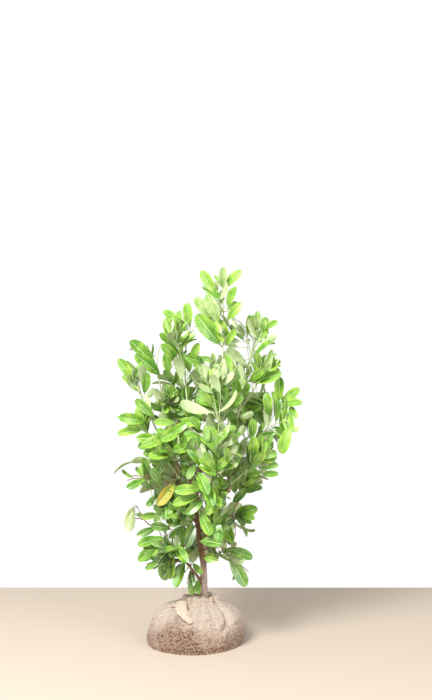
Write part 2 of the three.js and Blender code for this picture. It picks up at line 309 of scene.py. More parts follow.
def centreline(node, cuts):
    """Points and radii along the middle of a limb, foot first."""
    bm = frame_bmesh(node)
    cloud = np.array([v.co for v in bm.verts])
    middle = cloud.mean(axis=0)
    axis = Vector(np.linalg.svd(cloud - middle)[2][0])
    if axis.z < 0:
        axis.negate()
    reach = [axis.dot(v.co) for v in bm.verts]
    low, high = min(reach), max(reach)
    found = []
    for i in range(cuts):
        depth = low + (high - low) * (i + 0.5) / cuts
        slice_bm = bm.copy()
        cut = bmesh.ops.bisect_plane(
            slice_bm,
            geom=[*slice_bm.verts, *slice_bm.edges, *slice_bm.faces],
            plane_co=axis * depth,
            plane_no=axis,
        )["geom_cut"]
        edges = [e for e in cut if isinstance(e, bmesh.types.BMEdge)]
        around = sum(e.calc_length() for e in edges)
        if around:
            centre = Vector()
            for e in edges:
                centre += (e.verts[0].co + e.verts[1].co) / 2 * (e.calc_length() / around)
            radius = around / FULL_TURN
            found.append((centre, radius))
        slice_bm.free()
    bm.free()
    return found


def smooth_route(points, step):
    """Points every step along a Catmull-Rom curve through the given (place, radius) pairs."""
    ends = [(points[0][0] * 2 - points[1][0], points[0][1])] + points
    ends.append((points[-1][0] * 2 - points[-2][0], points[-1][1]))
    route = []
    for before, start, stop, after in zip(ends, ends[1:], ends[2:], ends[3:]):
        count = max(2, round((stop[0] - start[0]).length / step))
        for i in range(count):
            t = i / count
            weights = (
                -0.5 * t + t * t - 0.5 * t**3,
                1 - 2.5 * t * t + 1.5 * t**3,
                0.5 * t + 2 * t * t - 1.5 * t**3,
                -0.5 * t * t + 0.5 * t**3,
            )
            place = sum((w * p[0] for w, p in zip(weights, (before, start, stop, after))), Vector())
            route.append((place, start[1] + (stop[1] - start[1]) * t))
    return route + [points[-1]]


LIMB_NODES = sorted(n for n in frame["nodes"] if n.startswith("bough") or n in ("trunk", "second_stem"))
LIMBS = {}
for node in LIMB_NODES:
    LIMBS[node] = centreline(node, 26 if node == "trunk" else 8)
foot = LIMBS["trunk"][0]
print(f"{len(LIMBS)} centrelines; the trunk is {foot[1] * 2000:.0f} mm thick at its foot")

# %% [markdown]
# ## Bark that is swept along a centreline
#
# A cylinder primitive is cut into rings, and each ring is carried to its place on the route and scaled to the limb's
# radius there. The relief of the bark is pushed in afterwards: long swellings, a bulge under each fork, and small
# noise. At its foot each bough reaches into its parent, as real wood does.

# %% Sweeping
def sweep(bm, route, sides, relief=0.0, seed=0.0):
    """Adds a closed tube along (place, radius) pairs. relief is the share of the radius that the surface varies by."""
    count = len(route) - 1
    before = len(bm.verts)
    tube = set(bmesh.ops.create_cone(bm, cap_ends=True, segments=sides, radius1=1, radius2=1, depth=1)["verts"])
    long_edges = {e for v in tube for e in v.link_edges if abs(e.verts[0].co.z - e.verts[1].co.z) > 0.5}
    if count > 1:
        bmesh.ops.subdivide_edges(bm, edges=sorted(long_edges, key=lambda e: e.index), cuts=count - 1)
    side = None
    frames = []
    for i, (place, radius) in enumerate(route):
        ahead = route[min(i + 1, count)][0] - route[max(i - 1, 0)][0]
        ahead.normalize()
        side = ahead.orthogonal() if side is None else side - ahead * side.dot(ahead)
        side.normalize()
        frames.append((side.copy(), ahead.cross(side)))
    for v in list(bm.verts)[before:]:
        i = round((v.co.z + 0.5) * count)
        place, radius = route[i]
        u, w = frames[i]
        out = u * v.co.x + w * v.co.y
        rough = noise.noise((place + out * radius) * 60 + Vector((seed, 0, 0)))
        rough += 0.6 * noise.noise((place + out * radius) * 210 + Vector((0, seed, 0)))
        v.co = place + out * radius * (1 + relief * rough)


def finish_piece(bm, name, materials, smooth=True):
    """Makes the bmesh an object of the scene, with its place in its mesh."""
    mesh = bpy.data.meshes.new(name)
    bm.to_mesh(mesh)
    bm.free()
    for material in materials:
        mesh.materials.append(material)
    mesh.polygons.foreach_set("use_smooth", [smooth] * len(mesh.polygons))
    piece = bpy.data.objects.new(name, mesh)
    bpy.context.scene.collection.objects.link(piece)
    return piece


def stand_in(piece, slot_name, *nodes):
    """The piece rides on the plant's one body and takes the place of these nodes."""
    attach(piece, "root")
    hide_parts(*nodes)
    return piece


# %% Trunk and boughs
SLOTS = {row["node"]: row["material_slot"] for row in frame["record"]["subparts"]}
PARENT_REACH = mm(9)  # how far a bough's foot goes into its parent
routes = {}
limb_faces = 0
for number, node in enumerate(LIMB_NODES):
    points = LIMBS[node]
    start = points[0][0] - (points[1][0] - points[0][0]).normalized() * (
        (points[1][0] - points[0][0]).length / 2 + (0 if node == "trunk" else PARENT_REACH)
    )
    end = points[-1][0] + (points[-1][0] - points[-2][0]) / 2
    whole = [(start, points[0][1] * (1.0 if node == "trunk" else 1.25)), *points, (end, points[-1][1])]
    thick = node in ("trunk", "second_stem")
    routes[node] = smooth_route(whole, mm(7 if thick else 10))
    bm = bmesh.new()
    sweep(bm, routes[node], 20 if thick else 10, relief=0.09, seed=number * 3.7)
    limb_faces += len(bm.faces)
    kind = TRUNK_BARK if node == "trunk" else BOUGH_BARK if SLOTS[node] == "bark" else GREEN_SHOOT
    piece = finish_piece(bm, node + "_bark", [kind])
    stand_in(piece, SLOTS[node], node)
print(f"{len(routes)} limbs, {limb_faces} faces")

# %% [markdown]
# ## One leaf
#
# Every leaf starts as the same flat blade: a grid whose columns are the margin, the green cushion and the midrib, and
# whose rows run from the stalk to the tip. Its outline is a formula. `solidify` gives it a leaf's thickness, so each
# leaf is a closed body with an upper side, an underside and a rib of their own colours.
#
# Shading is smooth but for two lines that stay sharp: the rim, and the midrib, where a laurel leaf is folded. When it
# is placed, each copy is folded along its midrib, arched, twisted and stretched, so no two are the same.

# %% The flat blade
STALK = 0.09  # share of a leaf's length that is stalk
BLADE_STATIONS = (0.0, STALK, 0.2, 0.36, 0.53, 0.69, 0.83, 0.93, 0.985, 1.0)
BLADE_COLUMNS = (-1.0, -0.055, 0.055, 1.0)
STALK_HALF_WIDTH = 0.07  # as a share of the blade's half width
BLADE_THICKNESS = 0.006  # as a share of the blade's length


def blade_half_width(t):
    """The outline: it widens evenly from the stalk, is widest past the middle, and ends in a blunt point."""
    along = max(0.0, (t - STALK) / (1 - STALK))
    widest = 0.62
    return max(STALK_HALF_WIDTH, (along / widest) ** 0.72 * ((1 - along) / (1 - widest)) ** 0.44)


def flat_blade():
    """A leaf of length 1 along Y and half width 1 along X, with the face materials numbered."""
    bm = bmesh.new()
    rows, columns = len(BLADE_STATIONS), len(BLADE_COLUMNS)
    grid = bmesh.ops.create_grid(bm, x_segments=columns - 1, y_segments=rows - 1, size=0.5)["verts"]
    for v in grid:
        column = round((v.co.x + 0.5) * (columns - 1))
        t = BLADE_STATIONS[round((v.co.y + 0.5) * (rows - 1))]
        v.co = Vector((BLADE_COLUMNS[column] * blade_half_width(t), t, 0))
    uv = bm.loops.layers.uv.new("blade")
    for face in bm.faces:
        middle = face.calc_center_median()
        face.material_index = MIDRIB_INDEX if abs(middle.x) < 0.01 else 0
        for loop in face.loops:
            loop[uv].uv = (-abs(loop.vert.co.x) * mm(14), loop.vert.co.y * mm(118))
    top = list(bm.faces)
    bmesh.ops.solidify(bm, geom=top, thickness=BLADE_THICKNESS)
    bm.normal_update()
    for face in bm.faces:
        if face.normal.z < 0.5:
            face.material_index = UNDERSIDE_INDEX
    for edge in bm.edges:
        edge.smooth = edge.calc_face_angle() < 1 and len({f.material_index for f in edge.link_faces}) == 1
    blade = bpy.data.meshes.new("blade")
    bm.to_mesh(blade)
    bm.free()
    return blade


BLADE = flat_blade()
print(f"a leaf has {len(BLADE.polygons)} faces")

# %% Placing a leaf
MOSAIC = []  # the middle of every leaf so far


def add_leaf(bm, base, chord, facing, rng, tint="mid", width=0.38, arch=None, fold=None):
    """Adds one leaf. chord goes from its base to its tip, and its upper side looks towards facing."""
    MOSAIC.append(base + chord * 0.55)
    length = chord.length
    along = chord / length
    normal = facing - along * facing.dot(along)
    normal = normal.normalized() if normal.length > 1e-4 else along.orthogonal()
    across = along.cross(normal)
    half_width = length * width / 2
    fold = rng.uniform(0.2, 0.5) if fold is None else fold
    arch = rng.uniform(0.03, 0.12) if arch is None else arch
    twist = rng.uniform(-0.35, 0.35)
    ripple, phase = rng.uniform(0.0, 0.05), rng.uniform(0, FULL_TURN)
    before = len(bm.verts), len(bm.faces)
    bm.from_mesh(BLADE)
    bm.verts.ensure_lookup_table()
    bm.faces.ensure_lookup_table()
    for i in range(before[0], len(bm.verts)):
        v = bm.verts[i]
        x, t, lift = v.co.x * half_width, v.co.y, v.co.z * length
        turn = twist * (t - 0.3)
        height = abs(x) * fold + 4 * arch * length * t * (1 - t) + lift
        height += ripple * half_width * math.sin(9 * t + phase) * abs(v.co.x)
        side = across * math.cos(turn) + normal * math.sin(turn)
        top = normal * math.cos(turn) - across * math.sin(turn)
        v.co = base + along * (t * length) + side * x + top * height
    tint_index = TINT_NAMES.index(tint)
    for i in range(before[1], len(bm.faces)):
        if bm.faces[i].material_index == 0:
            bm.faces[i].material_index = tint_index


print("leaves can be placed")


# %% [markdown]
# ## The sprays
#
# Each mass of the frame becomes a spray: a shoot that grows on from the end of its bough, a few side shoots, and
# leaves. The sprays that make the outline were surveyed from the front, leaf by leaf. Their places are in millimetres
# across and up, where the line of sight from the camera crosses the plane of the trunk, and a row gives the leaf's
# base, the way it points as on a clock face in degrees, the length that shows and how it is turned. All other leaves
# come from a growing rule with seeded random numbers.

# %% Survey
EYE = Vector((0.080, -3.6, 1.193))


def seen(x, z, depth):
    """The place behind the trunk's plane by this depth that is in line with (x, z) in it. All are in millimetres."""
    return EYE + (mm(x, 0, z) - EYE) * ((mm(depth) - EYE.y) / -EYE.y)


def spray(limb, tip=None, shoots=3, wild=20, leaves=(), pale=0.1):
    """limb carries it, tip is the end of its main shoot, and wild is the number of leaves that the rule adds.
    pale is the share of those that show their underside."""
    return {"limb": limb, "tip": tip, "shoots": shoots, "wild": wild, "leaves": leaves, "pale": pale}


SPRAYS = {
    "leader": spray("trunk", (105, 1290, -10), 4, 18, [
        (81, 1268, -32, 104, "toward fresh"),
        (104, 1299, 2, 69, "toward young"),
        (111, 1295, 46, 88, "toward fresh"),
        (116, 1226, 25, 76, "away fresh"),
        (122, 1220, 22, 84, "toward fresh"),
        (120, 1175, 38, 83, "toward fresh"),
        (80, 1157, -37, 127, "toward young"),
        (95, 1160, -22, 122, "toward young"),
        (102, 1080, -38, 150, "toward mid"),
        (116, 1084, 30, 68, "toward fresh"),
        (98, 1229, 5, 60, "pale"),
        (91, 1186, -12, 60, "pale"),
    ], pale=0.2),
    "right_crown": spray("bough_right_crown", (233, 1131, 44), 5, 18, [
        (229, 1138, 0, 73, "toward young"),
        (250, 1143, 61, 61, "toward fresh"),
        (233, 1087, 62, 72, "pale"),
        (211, 1026, 43, 100, "edge mid"),
        (186, 1098, -42, 82, "away mid"),
        (200, 1011, -50, 102, "pale"),
        (167, 1026, -58, 70, "pale"),
        (167, 1077, -60, 70, "pale"),
        (175, 1100, -75, 76, "pale"),
    ], pale=0.3),
    "left_crown": spray("bough_left_crown", (-15, 1146, -30), 6, 34, [
        (-15, 1153, -7, 88, "toward fresh"),
        (-44, 1168, -58, 79, "toward fresh"),
        (-33, 1124, -61, 83, "toward fresh"),
        (-77, 1084, -47, 65, "toward fresh"),
        (-62, 1022, -39, 89, "toward mid"),
        (-62, 1066, -9, 72, "pale"),
        (-14, 1031, 26, 72, "toward fresh"),
        (69, 1007, 0, 52, "toward young"),
        (-47, 950, -8, 96, "pale fore"),
        (-7, 1033, 139, 70, "toward mid"),
        (-15, 986, 133, 70, "edge mid"),
        (-91, 985, -8, 75, "toward fresh"),
        (-15, 985, -10, 62, "toward mid"),
        (40, 1020, -70, 75, "toward mid"),
        (10, 1040, 100, 60, "toward deep"),
    ], pale=0.22),
    "left_tall": spray("bough_left_tall", (-125, 1080, 56), 3, 10, [
        (-138, 1011, -46, 131, "toward mid"),
        (-118, 972, -49, 125, "toward mid"),
    ]),
    "left_shoulder": spray("bough_left_shoulder", (-208, 938, -40), 3, 10, [
        (-216, 953, -35, 102, "toward fresh"),
        (-208, 944, 2, 73, "edge mid"),
        (-193, 935, 7, 77, "pale"),
        (-186, 884, 42, 58, "pale"),
        (-182, 905, 8, 85, "toward mid"),
        (-135, 870, -4, 60, "pale"),
    ], pale=0.25),
    "left_arm": spray("bough_left_arm", (-171, 803, -72), 3, 18, [
        (-171, 807, -76, 100, "toward fresh"),
        (-184, 778, -99, 94, "toward fresh"),
        (-140, 818, -44, 102, "toward mid"),
        (-160, 844, -20, 60, "pale"),
    ]),
    "left_mid": spray("bough_left_mid", (-95, 745, -122), 7, 44, [
        (-91, 738, -100, 114, "toward mid"),
        (-87, 751, -106, 106, "toward fresh"),
        (-91, 756, 54, 80, "toward fresh"),
        (-73, 742, 85, 101, "toward fresh"),
        (-77, 692, -93, 84, "toward fresh"),
        (-77, 669, -90, 84, "toward mid"),
        (-58, 796, 78, 84, "toward fresh"),
        (-29, 796, -118, 100, "toward fresh"),
        (-58, 818, 105, 87, "toward fresh"),
        (-7, 716, -95, 60, "toward mid"),
        (-66, 800, -85, 80, "toward fresh"),
        (-110, 742, -86, 100, "toward fresh"),
        (-95, 690, -84, 88, "toward mid"),
        (-15, 763, -30, 60, "away mid"),
    ]),
    "left_far": spray("bough_left_riser", (-189, 647, 34), 2, 6, [
        (-198, 662, -116, 106, "edge pale"),
        (-160, 605, -20, 78, "toward mid"),
        (-169, 596, -111, 81, "toward mid"),
    ]),
    "left_outer": spray("bough_left_outer", (-208, 494, 0), 1, 4, [
        (-222, 500, -163, 95, "pale"),
        (-222, 487, -170, 80, "pale"),
        (-240, 473, -173, 64, "pale"),
        (-131, 466, -92, 62, "toward fresh"),
    ]),
    "left_waist": spray("bough_left_waist", (-85, 567, -100), 8, 54, [
        (-69, 585, -138, 96, "toward yellow"),
        (-15, 534, -115, 62, "toward mid"),
        (-47, 665, 155, 80, "away mid"),
        (11, 694, -125, 65, "toward deep"),
        (33, 541, -36, 66, "toward fresh"),
        (-15, 487, -112, 90, "toward deep"),
        (-131, 603, 20, 70, "toward deep"),
        (-149, 560, -60, 50, "toward old"),
        (-109, 505, -150, 70, "toward deep"),
        (7, 603, -60, 60, "toward mid"),
        (-120, 575, -30, 72, "toward deep"),
        (-110, 540, -120, 72, "toward deep"),
        (-125, 500, -10, 70, "toward old"),
        (-120, 560, -150, 60, "toward old"),
    ]),
    "low_left": spray("bough_low_left", (-113, 390, -72), 6, 38, [
        (-135, 418, -109, 77, "toward deep"),
        (-113, 376, -101, 93, "toward mid"),
        (-120, 361, -126, 100, "toward mid"),
        (-125, 341, -164, 80, "edge deep"),
        (-113, 346, 176, 117, "toward deep"),
        (-91, 361, 178, 126, "toward fresh"),
        (-77, 356, 131, 72, "toward mid"),
        (-96, 376, 52, 80, "toward deep"),
        (-96, 385, 66, 61, "toward mid"),
        (-80, 410, -75, 80, "toward deep"),
        (-44, 345, 5, 84, "toward mid"),
    ]),
    "foot": spray("bough_low_left", (-15, 285, -62), 1, 6, [
        (-33, 298, -159, 94, "toward mid"),
        (-8, 259, 180, 83, "toward deep"),
        (-8, 288, 131, 52, "toward deep"),
        (11, 229, 172, 48, "toward mid"),
        (-28, 340, 17, 94, "toward fresh fore"),
    ]),
    "low_right": spray("bough_low_right", (105, 330, -54), 1, 6, [
        (108, 342, 108, 110, "toward deep"),
        (125, 319, 150, 128, "toward deep"),
        (44, 319, 100, 46, "toward mid"),
    ]),
    "right_skirt": spray("bough_right_low", (138, 454, -34), 3, 8, [
        (142, 454, 61, 100, "toward mid"),
        (147, 440, 100, 74, "edge deep"),
        (138, 429, 123, 70, "edge pale"),
        (94, 440, 141, 70, "toward fresh"),
        (87, 454, 43, 85, "pale"),
    ]),
    "centre_waist": spray("bough_centre_waist", (80, 520, -125), 7, 40, [
        (95, 549, -148, 94, "toward fresh"),
        (19, 484, 154, 98, "toward fresh fore"),
        (62, 470, 160, 96, "toward mid"),
        (16, 366, 84, 86, "toward deep fore"),
        (30, 306, 95, 58, "toward mid fore"),
        (7, 432, -157, 91, "toward old"),
    ]),
    "right_mid": spray("bough_right_mid", (226, 709, -92), 7, 42, [
        (222, 665, -4, 97, "toward fresh"),
        (226, 663, 86, 68, "toward fresh"),
        (225, 640, 82, 82, "toward deep"),
        (235, 761, 28, 50, "toward deep"),
        (189, 607, 75, 55, "toward mid"),
        (218, 683, -150, 71, "edge deep"),
        (178, 571, 60, 50, "toward fresh"),
        (167, 698, -30, 60, "toward deep"),
        (247, 611, 80, 60, "toward mid"),
        (240, 700, 35, 78, "toward mid"),
        (211, 745, 0, 80, "toward mid"),
        (235, 748, 70, 62, "toward deep"),
    ]),
    "right_low": spray("bough_right_low", None, 7, 40, [
        (138, 505, 40, 80, "toward deep"),
        (160, 541, 60, 70, "toward mid"),
        (189, 560, 80, 60, "toward deep"),
        (116, 450, 30, 60, "toward deep"),
        (150, 540, -5, 76, "toward deep"),
    ]),
    "right_tip": spray("bough_right_tip", (309, 873, -14), 4, 16, [
        (311, 876, 0, 97, "toward fresh"),
        (318, 880, 53, 82, "toward fresh"),
        (274, 826, -9, 89, "toward fresh"),
        (313, 865, 80, 80, "toward fresh"),
        (323, 870, 168, 94, "toward fresh"),
        (340, 862, 178, 100, "toward fresh fore"),
        (316, 848, 168, 84, "toward mid"),
        (358, 802, -160, 118, "toward fresh"),
        (352, 872, 172, 96, "toward fresh"),
    ]),
    "right_shoulder": spray("bough_right_shoulder", (247, 1011, -30), 5, 26, [
        (226, 960, 51, 112, "toward fresh"),
        (200, 953, 45, 76, "toward fresh"),
        (215, 948, 68, 108, "toward fresh"),
        (229, 893, 20, 72, "edge deep"),
        (269, 1033, 56, 40, "pale"),
        (189, 960, -5, 60, "edge young"),
        (127, 978, 60, 58, "toward mid"),
    ], pale=0.2),
    "centre": spray("second_stem", (98, 1010, -96), 9, 70, [
        (94, 812, 30, 130, "edge pale"),
        (113, 916, 20, 65, "pale"),
        (124, 909, 45, 75, "pale"),
        (171, 931, 8, 60, "pale"),
        (76, 964, -20, 48, "pale"),
        (-7, 811, -28, 74, "toward mid"),
        (22, 796, -18, 74, "toward mid"),
        (58, 753, 3, 84, "pale"),
        (138, 854, 35, 66, "toward mid"),
        (178, 898, 24, 56, "toward mid"),
        (116, 771, 50, 60, "toward deep"),
        (36, 895, 160, 60, "away deep"),
        (102, 742, -20, 70, "toward mid"),
        (160, 822, 70, 58, "pale"),
        (131, 790, 25, 70, "edge pale"),
        (150, 800, -15, 60, "toward mid"),
        (160, 905, -8, 70, "toward mid"),
    ], pale=0.42),
    "front": spray("bough_front", (90, 800, -178), 8, 56, [
        (69, 840, -72, 125, "pale"),
        (69, 873, -45, 62, "toward fresh"),
        (84, 838, 38, 112, "edge pale"),
        (98, 905, -24, 84, "pale"),
        (62, 930, 20, 70, "pale"),
        (22, 756, -80, 60, "toward fresh"),
        (44, 698, -30, 66, "toward mid"),
        (-22, 698, 20, 60, "toward deep"),
        (95, 698, 10, 60, "edge pale"),
        (124, 720, 40, 60, "edge pale"),
        (153, 742, 30, 60, "pale"),
        (22, 770, -30, 70, "toward mid"),
        (40, 800, 170, 60, "toward deep"),
    ], pale=0.35),
    "centre_low": spray("bough_centre_low", (72, 620, -156), 8, 48, [
        (62, 571, -10, 86, "pale fore"),
        (30, 562, -92, 100, "toward fresh fore"),
        (26, 536, -106, 106, "toward fresh fore"),
        (40, 522, -125, 84, "toward mid fore"),
        (33, 640, -35, 95, "toward mid"),
        (8, 628, 150, 88, "toward mid"),
        (5, 655, 118, 84, "toward fresh"),
        (40, 590, 160, 84, "toward mid"),
        (51, 476, 38, 82, "toward fresh"),
        (135, 574, -160, 32, "small rust fore"),
        (44, 727, 170, 77, "toward deep"),
        (73, 618, 15, 60, "toward mid"),
        (102, 603, 40, 60, "toward deep"),
        (120, 505, -60, 60, "toward mid"),
        (7, 654, -150, 60, "toward deep"),
    ]),
    "left_inner": spray("bough_left_tall", None, 9, 60, [
        (-33, 884, 5, 62, "toward mid"),
        (-69, 884, -14, 60, "toward mid"),
        (-91, 891, -55, 50, "pale"),
        (-80, 945, -30, 60, "toward deep"),
        (-106, 844, -62, 64, "toward deep"),
        (-77, 814, -32, 62, "toward deep"),
        (-120, 818, -82, 52, "toward old"),
        (7, 858, -104, 70, "toward deep"),
        (-58, 869, 30, 60, "away mid"),
    ], pale=0.2),
    "right_inner": spray("bough_right_crown", None, 8, 52, [
        (237, 865, 12, 76, "edge deep"),
        (189, 1113, -30, 55, "pale"),
        (196, 836, 60, 56, "toward mid"),
        (211, 796, 30, 60, "edge pale"),
    ], pale=0.35),
    "back_low": spray("bough_back_low", None, 10, 88),
    "back_left": spray("bough_back_left", None, 10, 88),
    "back_right": spray("bough_back_right", None, 10, 88),
    "back_upper_left": spray("bough_back_upper_left", None, 10, 84),
    "back_upper_right": spray("bough_back_upper_right", None, 10, 84),
}
GAPS = (  # where daylight, or the rust leaf, shows between the sprays: across, up and how far it reaches
    (153, 1018, 12), (131, 938, 22), (207, 924, 27), (237, 814, 20), (295, 796, 34), (113, 596, 14), (0, 920, 12),
    (-124, 898, 24), (-102, 982, 20), (24, 1132, 18), (182, 1073, 16), (4, 308, 20), (167, 523, 22), (135, 389, 20),
    (-160, 297, 14), (-135, 308, 12), (-62, 279, 14), (102, 287, 18), (262, 935, 22), (-190, 700, 20), (-237, 927, 24), (-229, 847, 16), (-222, 614, 22),
    (262, 1142, 12), (275, 1118, 14), (175, 1178, 14), (153, 400, 18), (128, 560, 16),
)
print(f"{len(SPRAYS)} sprays, {sum(len(s['leaves']) for s in SPRAYS.values())} surveyed leaves")

# %% [markdown]
# ## The growing rule
#
# A living crown is a mosaic: stalks twist until each leaf has its own patch of light. So each wild leaf tries a few
# ways to point and keeps the one with most room, or doesn't grow if there is none. Near a shoot's tip the leaves are
# young, small and close to the shoot. Further back they are longer, darker and hang lower. A side shoot heads for
# the emptiest place in its mass, and a leaf whose tip would leave the mass, or cover a gap, is tried another way.

# %% Growing
LEAF_LENGTH = mm(121)
SHOOT_RADII = (mm(2.2), mm(1.3))
TWIG_RADII = (mm(1.5), mm(1.0))
LEAF_GAP = mm(21)  # along a shoot, from one leaf to the next
FORWARD_MM = 30  # how far in front of its shoot a leaf marked fore is
OUTSIDE = mm(8)  # how far a leaf's tip may stand out of its mass
SURVEYED_MARGIN = mm(4)  # how far wild tips stay inside it where the outline is surveyed
BEHIND_OUTSIDE = mm(52)  # how far they may stand out of it behind, where the sprays are loose and meet
BACK_LIMIT, BACK_MIDDLE, BACK_ROUNDING = mm(292), mm(720), 0.35  # the furthest that a tip may be behind the trunk,
# the height at which it may, and how much less it is a metre above or below that, by the square of the distance
SHOOT_INSIDE, LOOSE_SHOOT_INSIDE = mm(16), mm(-24)  # how deep in its mass a side shoot ends, in front and behind
PLANT_FOOT, PLANT_TOP = 0.25, 1.35
CROWN_AXIS, CROWN_RADIUS = mm(50, 0, 0), mm(200)
DEPTH_SHARE = np.array((1.0, 0.45, 1.0))
CROWDED = mm(15)  # a leaf needs this much room and light to grow


def depth_inside(tree, place):
    """How far a place is inside a closed solid. It is negative outside."""
    near, normal, _, _ = tree.find_nearest(place)
    return (near - place).dot(normal)


def shoot_route(start, ahead, goal, radii):
    """A shoot that starts along ahead and bends to its goal, as (place, radius) pairs."""
    reach = (goal - start).length
    bend = start + ahead * reach * 0.45
    steps = max(3, round(reach / mm(16)))
    route = []
    for i in range(steps + 1):
        t = i / steps
        place = start * (1 - t) ** 2 + bend * 2 * t * (1 - t) + goal * t * t
        route.append((place, radii[0] + (radii[1] - radii[0]) * t))
    return route


def pick_tint(rng, place, age):
    """Leaves are youngest at the top of the plant, at the ends of its shoots and on the outside of its crown. The
    older, darker tints inside the crown are partly the leaves' age and partly painted shade.
    """
    inner = max(0.0, 1 - (place - CROWN_AXIS).xy.length / CROWN_RADIUS)
    # Inside the crown the tints are older and darker: partly the leaves' age, partly painted shade.
    youth = 0.12 + 0.54 * (place.z - PLANT_FOOT) / (PLANT_TOP - PLANT_FOOT) + 0.3 * (1 - age) - 0.3 * inner
    youth += rng.uniform(-0.16, 0.18)
    for limit, tint in ((0.74, "young"), (0.54, "fresh"), (0.34, "mid"), (0.16, "deep")):
        if youth > limit:
            return tint
    return "old"


def emptiest_place(rng, tree, box, taken, margin):
    """Of some random places well inside the mass, the one furthest from the shoots so far."""
    best, best_gap = None, -1.0
    for _ in range(60):
        place = Vector(rng.uniform(low, high) for low, high in zip(*box))
        if depth_inside(tree, place) > margin:
            gap = min((place - p).length for p, _ in taken)
            if gap > best_gap:
                best, best_gap = place, gap
    return best


def room_round(place):
    """How far a place is from the nearest leaf so far. Depth counts for less, so the leaves spread as a mosaic."""
    offsets = (np.array(MOSAIC) - np.array(place)) * DEPTH_SHARE
    return math.sqrt((offsets**2).sum(axis=1).min())


def in_gap(place):
    """Whether a place is in line with daylight, as seen from the camera."""
    in_plane = EYE + (place - EYE) * (-EYE.y / (place.y - EYE.y))
    return any((in_plane - mm(x, 0, z)).xz.length < mm(reach) for x, z, reach in GAPS)


def best_blade(rng, tree, base, axis, age, margin, light):
    """Of some ways for a leaf to point, the one with most room and light. None if there is no room."""
    best, best_score = None, CROWDED
    length = LEAF_LENGTH * (0.74 + 0.34 * age) * rng.uniform(0.88, 1.1)
    opening = 26 + 46 * age
    for attempt in range(16):
        around = Quaternion(axis, rng.uniform(0, FULL_TURN)) @ axis.orthogonal().normalized()
        angle = math.radians(opening + rng.uniform(-14, 20))
        reach = length * 0.93 ** (attempt // 2)
        chord = (axis * math.cos(angle) + around * math.sin(angle)) * reach
        chord.z -= 0.18 * age * reach
        tip = base + chord
        too_far_back = tip.y > BACK_LIMIT - BACK_ROUNDING * (tip.z - BACK_MIDDLE) ** 2
        if too_far_back or depth_inside(tree, tip) < margin or in_gap(tip) or in_gap(base + chord * 0.6):
            continue
        score = room_round(base + chord * 0.55) + 0.2 * (chord.length - abs(chord.dot(light)))
        if score > best_score:
            best, best_score = chord, score
    return best


def shoot_leaves(bm, rng, tree, route, wild, margin, light, pale):
    """Leaves round one shoot by the rule, with their tips inside the mass by a margin. Returns how many it grew."""
    total = sum((b[0] - a[0]).length for a, b in zip(route, route[1:]))
    gap = min(LEAF_GAP, total / max(wild, 1))
    grown = 0
    along = total
    while along > 0 and grown < wild:
        t = along / total
        i = min(int(t * (len(route) - 1)), len(route) - 2)
        part = t * (len(route) - 1) - i
        base = route[i][0].lerp(route[i + 1][0], part)
        axis = (route[i + 1][0] - route[i][0]).normalized()
        age = min(1.0, (total - along) / mm(150) + 0.1)
        along -= gap * rng.uniform(0.8, 1.2)
        chord = best_blade(rng, tree, base, axis, age, margin, light)
        if chord is None:
            continue
        out = (base - CROWN_AXIS) * Vector((1, 1, 0))
        lit = light if base.y < mm(30) else Vector()
        facing = axis * 0.3 + UP * 0.45 + out.normalized() * 0.4 + lit * 0.45
        facing += Vector(rng.uniform(-0.5, 0.5) for _ in range(3))
        if rng.random() < pale:
            facing = -facing
        add_leaf(bm, base, chord, facing, rng, pick_tint(rng, base, age), width=rng.uniform(0.3, 0.37))
        grown += 1
    return grown


def surveyed_leaf(leaves, twigs, rng, tree, routes_here, row):
    """One leaf of the survey, on a stalk from the nearest shoot, leaning towards the viewer or away by its length."""
    x, z, clock, shown, pose = row
    words = pose.split()
    first = seen(x, z, routes_here[0][0][0].y * 1000)
    joints = [point for route in routes_here for point in route]
    joint = min(joints, key=lambda point: (point[0] - first).length)[0]
    base = seen(x, z, joint.y * 1000 - (FORWARD_MM if "fore" in words else 0))
    shown = mm(shown) * (joint.y - EYE.y) / -EYE.y
    usual = LEAF_LENGTH * rng.uniform(0.86, 1.06) * min(1.0, 0.55 + shown / LEAF_LENGTH)
    length = max(shown * 1.03, shown if "small" in words else usual)
    lean = math.acos(min(1.0, shown / length))
    lean *= -1 if "away" in words else 1 if "toward" in words else rng.choice((-1, 1))
    clock = math.radians(clock)
    chord = Vector((math.sin(clock) * math.cos(lean), -math.sin(lean), math.cos(clock) * math.cos(lean))) * length
    if depth_inside(tree, base + chord) < -OUTSIDE * 2:
        chord.y *= 0.35
    jitter = Vector(rng.uniform(-0.22, 0.22) for _ in range(3))
    facing = VIEWER + UP * 0.35 + jitter
    if "edge" in words:
        facing = chord.normalized().cross(VIEWER) * rng.choice((-1, 1)) + VIEWER * 0.35 + jitter
    if "pale" in words:
        facing = -facing
    tint = next((word for word in words if word in TINTS), None) or pick_tint(rng, base, 0.4)
    add_leaf(leaves, base, chord, facing, rng, tint, width=rng.uniform(0.33, 0.39))
    if (base - joint).length > mm(3):
        sweep(twigs, shoot_route(joint, UP * 0.3 + (base - joint).normalized(), base, TWIG_RADII), 5)


